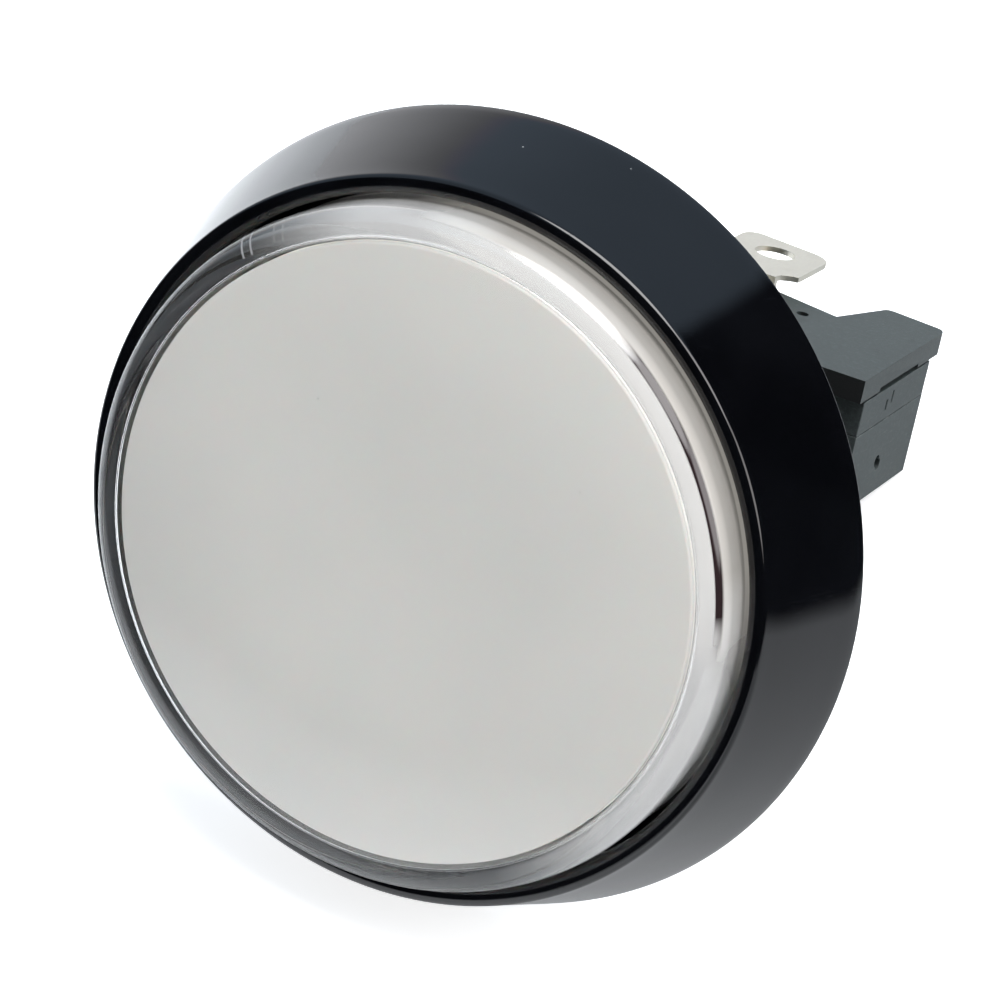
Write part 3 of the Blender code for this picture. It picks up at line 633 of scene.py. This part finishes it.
def lens():
    r, t, e = 24.9, 13.3, 1.9
    inner = r - 1.9
    prof = [(0, t), (12.0, t), (20.0, t)] + list(reversed(arc(r - e, t - e, e, 0, 90, 22)))
    prof += [(r, 8.5), (r, 5.85), (r - 0.15, 5.7), (inner + 0.15, 5.7), (inner, 5.85), (inner, 12.15)]
    prof += arc(inner - 0.4, 12.2, 0.4, 0, 90, 6) + [(12.0, 12.6), (0, 12.6)]
    return lathe("lens", prof, 288)


place(lens(), "lens_clear_cap", mats["lens_clear"], "plunger", "lens_cap", angle=40)

disc = lathe("disc", [(0, 12.4), (12.0, 12.4), (22.3, 12.4), (22.45, 12.33), (22.5, 12.2), (22.5, 11.45), (22.4, 11.3), (0, 11.3)], 256)
place(disc, "diffuser_disc_look", mats["diffuser_white"], "plunger", "diffuser_disc", angle=50)


def plunger():
    prof = [(7.2, 5.3), (7.35, 5.4), (21.1, 5.4), (21.3, 5.6), (21.3, 10.9), (21.4, 11.0), (22.5, 11.0), (22.6, 10.9), (22.6, 5.6), (22.8, 5.4), (24.45, 5.4), (24.6, 5.25), (24.6, 4.55), (24.45, 4.4), (9.0, 4.4), (8.6, 4.1), (8.6, -23.7), (8.4, -24.0), (7.4, -24.0), (7.2, -23.8)]
    ob = lathe("plunger", prof, 192)
    lugs = []
    for a in (90, 270):
        bm = bmesh.new()
        cols = []
        for i in range(17):
            t = math.radians(a - 18 + 36 * i / 16)
            cols.append([bm.verts.new((r * math.cos(t), r * math.sin(t), z)) for r, z in ((8.1, -20.35), (9.6, -20.35), (9.6, -20.9), (8.75, -22.6), (8.1, -22.6))])
        for p, q in zip(cols, cols[1:]):
            for k in range(5):
                bm.faces.new((p[k], p[(k + 1) % 5], q[(k + 1) % 5], q[k]))
        bm.faces.new(cols[0])
        bm.faces.new(list(reversed(cols[-1])))
        lugs.append(finish("t", bm))
    join(ob, lugs)
    return cut(ob, [sector("t", 6.2, 10.6, -14.0, -25.0, a + s - 3, a + s + 3, 3) for a in (90, 270) for s in (-24, 24)])


place(plunger(), "plunger_look", mats["plunger_white"], "plunger", "plunger")

spring = coil("spring", 9.4, 0.4, -11.65, 4.05, 5.5, 64, 16)
place(spring, "return_spring_look", mats["spring_steel"], "bezel", "return_spring", angle=60)
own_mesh(spring)


# ---------------------------------------------------------------- lamp holder

def holder():
    front, rear = -28.3, -30.5
    prof = [(5.5, -16.5), (6.6, -16.5), (6.9, -16.8), (6.9, front), (8.95, front), (8.95, -25.2), (9.1, -25.0), (9.85, -25.0), (10.0, -25.2), (10.0, front), (11.2, front), (11.4, front - 0.2), (11.4, rear + 0.2), (11.2, rear), (5.6, rear), (5.6, rear + 0.3), (5.6, -26.5), (5.5, -26.4)]
    ob = lathe("holder", prof, 96)
    right = [(4.3, -49.8), (5.95, -54.4), (8.1, -60.35), (8.2, -60.6), (8.4, -60.8), (8.65, -60.9), (8.95, -60.9), (13.2, -60.28), (13.55, -60.15), (13.8, -59.9), (13.95, -59.6), (14.0, -59.3), (14.0, -40.62), (9.7, -40.62), (9.2, -39.3), (3.4, -39.3)]
    left = [(-x, z) for x, z in reversed(right) if not 3.0 < x < 8.3] + [(-7.3, -59.3), (-7.3, -39.3)]
    parts = [
        box("t", (-9.9, 9.9), (-8.0, 5.3), (rear + 0.7, -40.6)),
        prism("t", [(-9.3, -39.7), (9.3, -39.7), (9.3, -57.4), (4.7, -58.6), (-1.7, -60.25), (-9.3, -60.35)], 3.3, 3.95),
        prism("t", right, 3.3, 5.3),
        prism("t", left, 3.3, 5.3),
    ]
    for k in range(2):
        a = 70.0 + 180 * k
        parts.append(sector("t", 9.7, 11.2, -25.2, -27.2, a - 7.5, a + 7.5, 8))
    for x, z in ((11.1, -44.95), (-11.1, -55.25)):
        parts.append(cylinder("t", 1.3, -6.5, 3.6, 32, "Y", (x, 0, z)))
    join(ob, parts)
    holes = [
        cylinder("t", 5.5, -27.0, -33.9, 96),
        box("t", (-9.05, 9.05), (-6.5, 3.0), (-35.0, -42.0)),
        sector("t", 6.98, 8.85, -27.0, -36.0, -18, 18, 16),
        sector("t", 6.98, 8.85, -27.0, -36.0, 162, 198, 16),
        box("t", (-3.95, -0.85), (2.7, 4.1), (-33.0, -36.0)),
        box("t", (-6.95, -0.85), (2.6, 7.0), (-35.3, -36.8)),
        box("t", (-6.95, -0.85), (3.95, 7.0), (-36.5, -42.0)),
        box("t", (0.85, 3.95), (-4.1, -2.7), (-33.0, -36.0)),
        box("t", (-0.35, 6.65), (-9.0, -6.0), (-35.3, -36.8)),
        cylinder("t", 0.55, 3.4, 5.5, 32, "Y", (2.3, 0, -56.4)),
        box("t", (12.4, 15.0), (3.0, 3.62), (-45.2, -54.4)),
    ]
    return cut(ob, holes)


place(holder(), "lamp_holder_look", mats["holder_grey"], "holder", "lamp_holder", edge=0.14)


# ---------------------------------------------------------------- terminals

def strip_terminal():
    t = 0.5
    ob = box("ta", (-3.6, -1.2), (3.05, 3.05 + t), (-23.0, -36.4))
    outline = [(-6.6, -57.5), (-1.2, -57.5), (-1.2, -58.0), (-1.05, -58.45), (-0.8, -58.75), (-0.45, -59.1), (0.05, -59.3), (0.25, -59.42), (0.3, -59.65), (0.3, -65.6), (0.22, -66.1), (0.0, -66.6), (-0.4, -67.05), (-0.9, -67.4), (-1.5, -67.62), (-6.9, -68.45), (-7.4, -68.45), (-7.85, -68.2), (-8.2, -67.75), (-8.4, -67.2), (-8.4, -60.0), (-8.3, -59.7), (-7.9, -59.55), (-7.2, -59.5), (-6.75, -59.3), (-6.6, -58.9)]
    tab = prism("t", outline, 6.0 - t, 6.0)
    join(ob, [
        box("t", (-6.6, -1.2), (3.05, 5.0), (-35.7, -36.4)),
        box("t", (-6.6, -1.2), (5.0 - t, 5.0), (-35.7, -58.2)),
        box("t", (-6.6, -1.2), (5.0 - t, 5.75), (-57.5, -58.2)),
        tab,
    ])
    return cut(ob, [cylinder("t", 1.82, 4.0, 7.0, 64, "Y", (-4.02, 0, -64.2))])


place(strip_terminal(), "lamp_terminal_a_look", mats["terminal_nickel"], "holder", "lamp_terminal_a", edge=0.10)
keep_node("lamp_terminal_b", mats["terminal_nickel"], 0.08)


# ---------------------------------------------------------------- yoke and lamp

def yoke():
    ob = box("yoke", (-8.7, 8.7), (-4.2, 2.2), (-36.8, -39.0))
    return join(ob, [sector("t", 7.3, 8.5, -24.3, -37.3, a - 14, a + 14, 14) for a in (0, 180)])


place(yoke(), "push_yoke_look", mats["yoke_white"], "yoke", "push_yoke", edge=0.15)

base = box("lb", (-4.6, 4.6), (-2.3, 2.3), (-32.9, -20.4))
join(base, [cylinder("t", 4.9, -20.9, -17.6, 72)])
place(base, "lamp_base_look", mats["lamp_base_white"], "holder", "lamp_base", edge=0.18)

dome = lathe("ld", [(0, -17.3), (4.8, -17.3), (4.9, -17.2), (4.9, -16.5), (4.75, -16.3), (4.5, -16.2), (4.5, -12.0)] + arc(0, -10.6, 4.5, 0, 90, 20)[:-1] + [(0, -6.1)], 96)
place(dome, "lamp_dome_look", mats["lamp_dome_clear"], "holder", "lamp_dome", angle=45)

for tag, side in (("a", 1), ("b", -1)):
    x, y = -2.4 * side, 2.72 * side
    lead = wire("lead", [(x, y, -22.5), (x, y, -33.0), (x, y - 0.12 * side, -33.22), (x, y - 0.35 * side, -33.35), (x, 0.9 * side, -33.35)], 0.22)
    place(lead, "lamp_lead_" + tag + "_look", mats["lamp_lead_tin"], "holder", "lamp_lead_" + tag, angle=50)


# ---------------------------------------------------------------- snap-action switch

PINS = ((11.1, -44.95), (-11.1, -55.25))


def switch_base():
    ob = box("sb", (-13.9, 13.9), (-7.2, -0.10), (-58.05, -42.15))
    cut(ob, [box("t", (-12.5, 12.5), (-5.9, 1.0), (-56.5, -43.7))])
    join(ob, [cylinder("t", 2.6, -6.6, -0.16, 48, "Y", (x, 0, z)) for x, z in PINS])
    tools = [cylinder("t", 1.6, -9.0, 2.0, 48, "Y", (x, 0, z)) for x, z in PINS]
    tools += [
        box("t", (1.7, 5.5), (-4.0, 1.0), (-41.15, -44.35)),
        box("t", (-15.0, -11.9), (-1.2, 1.0), (-47.4, -52.6)),
        box("t", (-3.9, 1.5), (-1.2, 1.0), (-56.0, -59.5)),
        box("t", (4.1, 9.5), (-1.2, 1.0), (-56.0, -59.5)),
        cylinder("t", 0.55, 13.4, 14.5, 32, "X", (0, -4.5, -49.9)),
        cylinder("t", 0.55, 13.4, 14.5, 32, "X", (0, -4.1, -49.5)),
    ]
    return cut(ob, tools)


place(switch_base(), "switch_base_look", mats["switch_case_black"], "holder", "switch_base", edge=0.12)


def switch_cover():
    ob = box("sc", (-13.9, 13.9), (-0.03, 3.0), (-58.05, -42.15))
    tools = [cylinder("t", 1.6, -1.0, 4.0, 48, "Y", (x, 0, z)) for x, z in PINS]
    tools.append(box("t", (13.6, 15.0), (0.8, 1.8), (-48.2, -48.55)))
    tools.append(box("t", (13.6, 15.0), (1.2, 2.3), (-49.45, -49.75)))
    return cut(ob, tools)


place(switch_cover(), "switch_cover_look", mats["switch_case_black"], "holder", "switch_cover", edge=0.09)

keep = (("switch_button", "switch_button_black", 0.12), ("switch_blade", "blade_bronze", 0.05), ("moving_contact", "contact_silver", 0.05),
        ("nc_contact", "contact_silver", 0.05), ("no_contact", "contact_silver", 0.05), ("nc_terminal", "switch_brass", 0.06),
        ("no_terminal", "switch_brass", 0.06), ("com_terminal", "switch_brass", 0.06))
for node, name, edge in keep:
    keep_node(node, mats[name], edge)

blade_spring = coil("bs", 1.1, 0.2, -56.2, -47.6, 6.5, 40, 12, (-2.0, -2.7))
place(blade_spring, "blade_spring_look", mats["spring_steel"], "holder", "blade_spring", angle=60)
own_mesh(blade_spring)


# ---------------------------------------------------------------- camera

RIGHT = Vector((0.87638943, 0.18509446, -0.444614))
DOWN = Vector((0.32063279, -0.91309963, 0.2518803))
AHEAD = Vector((-0.35935523, -0.36330306, -0.85957821))
EYE = Vector((90.1407, 91.1635, 211.8665 + SHIFT)) * MM

cam_data = bpy.data.cameras.new("photo_view")
cam_data.sensor_width = 36.0
cam_data.lens = 122.4
cam_data.clip_start = 0.01
cam_data.clip_end = 20.0
cam = bpy.data.objects.new("photo_view", cam_data)
bpy.context.scene.collection.objects.link(cam)
turn = Matrix((RIGHT, -DOWN, -AHEAD)).transposed().to_4x4()
cam.matrix_world = Matrix.Translation(EYE) @ turn
bpy.context.scene.camera = cam


# ---------------------------------------------------------------- floor

UP = Vector((0.0, 0.931, 0.365)).normalized()
CONTACT = Vector((0.0, -30.0, SHIFT)) * MM


def floor():
    bm = bmesh.new()
    n, half = 24, 2.2
    side = RIGHT - UP * RIGHT.dot(UP)
    side.normalize()
    deep = UP.cross(side).normalized()
    grid = [[bm.verts.new(CONTACT - UP * 0.0002 + side * (half * (2 * i / n - 1)) + deep * (half * (2 * j / n - 1))) for j in range(n + 1)] for i in range(n + 1)]
    for i in range(n):
        for j in range(n):
            bm.faces.new((grid[i][j], grid[i + 1][j], grid[i + 1][j + 1], grid[i][j + 1]))
    bm.normal_update()
    if sum((f.normal for f in bm.faces), Vector()).dot(UP) < 0:
        bmesh.ops.reverse_faces(bm, faces=bm.faces)
    mesh = bpy.data.meshes.new("floor")
    bm.to_mesh(mesh)
    bm.free()
    ob = bpy.data.objects.new("floor", mesh)
    bpy.context.scene.collection.objects.link(ob)
    g = Graph("m_floor")
    fine = g.noise(0.9, 5.0, 0.6)
    cloud = g.noise(0.008, 3.0, 0.5)
    tone = g.mix(g.remap(cloud, 0.3, 0.7), (0.80, 0.82, 0.84), (0.83, 0.85, 0.87))
    g.set(colour=tone, rough=g.remap(fine, 0.3, 0.7, 0.75, 0.9), normal=g.bump(fine, 0.01, 0.3), spec=0.1)
    # painted reflection: to glossy rays the floor fades into a dark emission far to the right and far along the lens
    # face's mirror direction, and is half dark already near the object; it stands in for the dark room seen past the
    # sheet's end, as on a studio table
    dot = g.nt.nodes.new("ShaderNodeVectorMath")
    dot.operation = "DOT_PRODUCT"
    g.nt.links.new(g.mm, dot.inputs[0])
    dot.inputs[1].default_value = RIGHT
    near = g.nt.nodes.new("ShaderNodeVectorMath")
    near.operation = "DOT_PRODUCT"
    g.nt.links.new(g.mm, near.inputs[0])
    near.inputs[1].default_value = (-0.77 * RIGHT + 0.43 * DOWN - 0.47 * AHEAD).normalized()
    beyond = g.math("MAXIMUM", g.remap(dot.outputs["Value"], 70.0, 125.0, 0.0, 1.0, True), g.remap(near.outputs["Value"], 45.0, 150.0, 0.0, 1.0, True))
    beyond = g.math("MAXIMUM", beyond, g.remap(dot.outputs["Value"], -5.0, 35.0, 0.0, 0.5, True))
    path = g.nt.nodes.new("ShaderNodeLightPath")
    fade = g.math("MULTIPLY", beyond, path.outputs["Is Glossy Ray"])
    dark = g.nt.nodes.new("ShaderNodeEmission")
    dark.inputs["Color"].default_value = (0.01, 0.012, 0.014, 1)
    sheet = g.nt.nodes.new("ShaderNodeMixShader")
    g.nt.links.new(fade, sheet.inputs[0])
    g.nt.links.new(g.bsdf.outputs[0], sheet.inputs[1])
    g.nt.links.new(dark.outputs[0], sheet.inputs[2])
    lift = g.nt.nodes.new("ShaderNodeEmission")
    lift.inputs["Color"].default_value = (1, 1, 1, 1)
    g.nt.links.new(g.math("MULTIPLY", path.outputs["Is Camera Ray"], 0.62), lift.inputs["Strength"])
    bright = g.nt.nodes.new("ShaderNodeAddShader")
    g.nt.links.new(sheet.outputs[0], bright.inputs[0])
    g.nt.links.new(lift.outputs[0], bright.inputs[1])
    geo = g.nt.nodes.new("ShaderNodeNewGeometry")
    clear = g.nt.nodes.new("ShaderNodeBsdfTransparent")
    one_sided = g.nt.nodes.new("ShaderNodeMixShader")
    g.nt.links.new(geo.outputs["Backfacing"], one_sided.inputs[0])
    g.nt.links.new(bright.outputs[0], one_sided.inputs[1])
    g.nt.links.new(clear.outputs[0], one_sided.inputs[2])
    g.nt.links.new(one_sided.outputs[0], g.out.inputs["Surface"])
    mesh.materials.append(g.mat)
    return ob


floor()


# ---------------------------------------------------------------- light

def world():
    """Surroundings as a studio: a wide overhead panel, a pale wall behind, a dark room to the right, a soft fill in front."""
    w = bpy.data.worlds.new("studio")
    bpy.context.scene.world = w
    w.use_nodes = True
    nt = w.node_tree
    nt.nodes.clear()
    out = nt.nodes.new("ShaderNodeOutputWorld")
    bg = nt.nodes.new("ShaderNodeBackground")
    coord = nt.nodes.new("ShaderNodeTexCoord")

    def part(direction):
        n = nt.nodes.new("ShaderNodeVectorMath")
        n.operation = "DOT_PRODUCT"
        nt.links.new(coord.outputs["Generated"], n.inputs[0])
        n.inputs[1].default_value = direction
        return n.outputs["Value"]

    def ramp(value, lo, hi):
        n = nt.nodes.new("ShaderNodeMapRange")
        n.interpolation_type = "SMOOTHSTEP"
        nt.links.new(value, n.inputs["Value"])
        n.inputs["From Min"].default_value = lo
        n.inputs["From Max"].default_value = hi
        return n.outputs["Result"]

    def op(kind, a, b):
        n = nt.nodes.new("ShaderNodeMath")
        n.operation = kind
        for i, v in enumerate((a, b)):
            if isinstance(v, bpy.types.NodeSocket):
                nt.links.new(v, n.inputs[i])
            else:
                n.inputs[i].default_value = v
        return n.outputs[0]

    x, y, z = part(RIGHT), part(DOWN), part(AHEAD)
    def toward(rx, ry, rz):
        return (rx * RIGHT + ry * DOWN + rz * AHEAD).normalized()

    def tinted(value, colour):
        n = nt.nodes.new("ShaderNodeVectorMath")
        n.operation = "SCALE"
        n.inputs[0].default_value = colour
        nt.links.new(value, n.inputs["Scale"])
        return n.outputs[0]

    def brighter(a, b):
        n = nt.nodes.new("ShaderNodeVectorMath")
        n.operation = "MAXIMUM"
        nt.links.new(a, n.inputs[0])
        if isinstance(b, tuple):
            n.inputs[1].default_value = b
        else:
            nt.links.new(b, n.inputs[1])
        return n.outputs[0]

    overhead = op("MULTIPLY", ramp(y, -0.40, -0.62), ramp(x, 0.78, 0.72))
    wall = op("MULTIPLY", ramp(z, 0.12, 0.80), ramp(x, 0.75, 0.4))
    key = ramp(part(toward(0.22, -0.72, -0.66)), 0.91, 0.955)
    side_a = ramp(part(toward(0.55, -0.38, -0.75)), 0.945, 0.98)
    side_b = ramp(part(toward(0.80, 0.02, -0.58)), 0.945, 0.98)
    total = brighter(tinted(overhead, (0.42, 0.53, 0.66)), tinted(wall, (1.33, 1.35, 1.41)))
    total = brighter(total, tinted(key, (9.0, 9.0, 9.0)))
    total = brighter(total, tinted(side_a, (6.0, 5.9, 5.9)))
    total = brighter(total, tinted(side_b, (4.0, 3.9, 3.9)))
    total = brighter(total, (0.008, 0.009, 0.010))
    path = nt.nodes.new("ShaderNodeLightPath")
    mix = nt.nodes.new("ShaderNodeMix")
    mix.data_type = "RGBA"
    nt.links.new(path.outputs["Is Camera Ray"], mix.inputs[0])
    nt.links.new(total, mix.inputs[6])
    mix.inputs[7].default_value = (1, 1, 1, 1)
    nt.links.new(mix.outputs[2], bg.inputs["Color"])
    bg.inputs["Strength"].default_value = 1.0
    nt.links.new(bg.outputs[0], out.inputs["Surface"])


world()


def panel(name, direction, distance, size, power, colour=(1, 1, 1)):
    light = bpy.data.lights.new(name, "AREA")
    light.shape = "RECTANGLE"
    light.size, light.size_y = size
    light.energy = power
    light.color = colour
    ob = bpy.data.objects.new(name, light)
    bpy.context.scene.collection.objects.link(ob)
    d = direction.normalized()
    ob.location = d * distance + Vector((0, 0, -0.02))
    ob.rotation_euler = d.to_track_quat("Z", "Y").to_euler()
    ob.visible_glossy = False
    ob.visible_transmission = False
    return ob


panel("fill_front", -0.86 * AHEAD - 0.5 * RIGHT + 0.1 * DOWN, 1.0, (0.6, 0.6), 5.0, (1.0, 0.985, 0.965))

scene = bpy.context.scene
scene.view_settings.view_transform = "Standard"
scene.view_settings.look = "None"
scene.cycles.use_denoising = True

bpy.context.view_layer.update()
